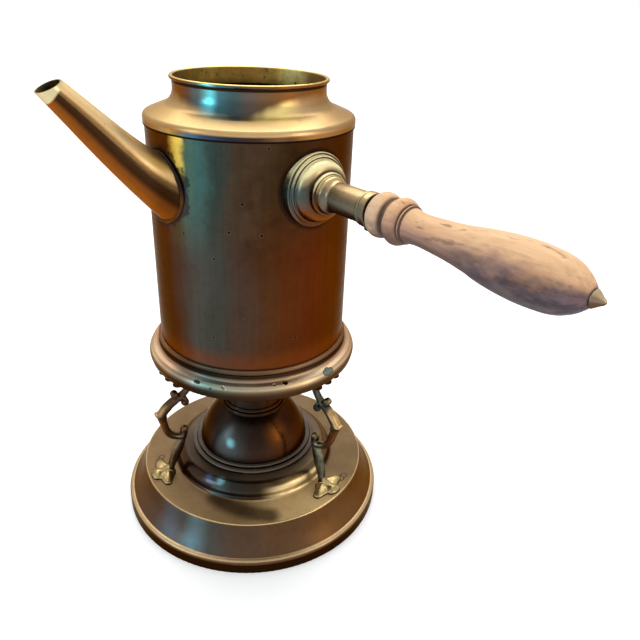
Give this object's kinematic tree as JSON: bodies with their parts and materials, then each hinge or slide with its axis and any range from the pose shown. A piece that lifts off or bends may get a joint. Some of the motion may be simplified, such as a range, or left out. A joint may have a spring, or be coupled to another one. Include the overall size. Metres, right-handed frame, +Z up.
{
  "type": "spirit burner coffee maker",
  "caption": "Brass coffee pot with a slanted spout and a turned wooden side handle, on a ring with scroll legs over a spirit burner in a round base.",
  "frame": {"origin": "middle of the base, on the surface it stands on", "axes": "+Z up along the pot, +X along the wooden side handle, the spout points along -Y"},
  "size_m": [0.3161, 0.2098, 0.2948],
  "materials": {
    "base_brass": "spun, worn satin with brown patina",
    "ring_brass": "spun, satin, pinkish tan",
    "leg_brass": "cast, dark green-grey patina with rubbed edges",
    "fixing_brass": "turned, dull",
    "pot_brass": "drawn sheet, olive and brown patina with small pits",
    "shoulder_brass": "spun, satin, pale gold",
    "spout_brass": "rolled sheet, satin with small pits",
    "handle_brass": "turned, satin yellow",
    "burner_brass": "spun, dark red-brown, glossy",
    "iron_wire": "drawn wire",
    "turned_wood": "worn, dry, weathered grey below",
    "leather_washer": "oiled",
    "cotton_wick": "braided cotton, singed at the top"
  },
  "bodies": {
    "stand": {"base": "base_brass", "gallery_ring": "ring_brass", "leg_by_the_spout": "leg_brass", "leg_by_the_handle": "leg_brass", "leg_at_the_back": "leg_brass", "foot_nuts": "fixing_brass", "ring_rivets": "fixing_brass"},
    "pot": {"pot_body": "pot_brass", "pot_floor": "pot_brass", "foot_bead": "ring_brass", "shoulder_and_neck": "shoulder_brass", "rim_wire": "iron_wire", "spout": "spout_brass", "handle_rosette": "handle_brass", "handle_socket": "handle_brass", "handle_ferrule": "handle_brass", "socket_screw": "fixing_brass", "wooden_grip": "turned_wood", "grip_finial": "handle_brass"},
    "burner": {"burner_bowl": "burner_brass", "burner_dome": "burner_brass", "burner_collar": "burner_brass"},
    "seal": {"head_washer": "leather_washer"},
    "burner_top": {"burner_head": "burner_brass", "wick_tube": "burner_brass", "wick": "cotton_wick"}
  },
  "joints": [
    {"name": "pot_lift", "type": "slide", "parent": "stand", "child": "pot", "axis": [0, 0, 1], "range_m": [0, 0.08]},
    {"name": "burner_lift", "type": "slide", "parent": "stand", "child": "burner", "axis": [0, 0, 1], "range_m": [0, 0.026]},
    {"name": "head_rise", "type": "slide", "parent": "burner", "child": "seal", "axis": [0, 0, 1], "range_m": [0, 0.003]},
    {"name": "head_turn", "type": "hinge", "parent": "seal", "child": "burner_top", "pos_m": [0, 0, 0.0755], "axis": [0, 0, 1], "range_deg": [0, 720]}
  ],
  "couplings": [
    {"joint": "head_rise", "follows": "head_turn", "m_per_rad": 0.00023873}
  ]
}
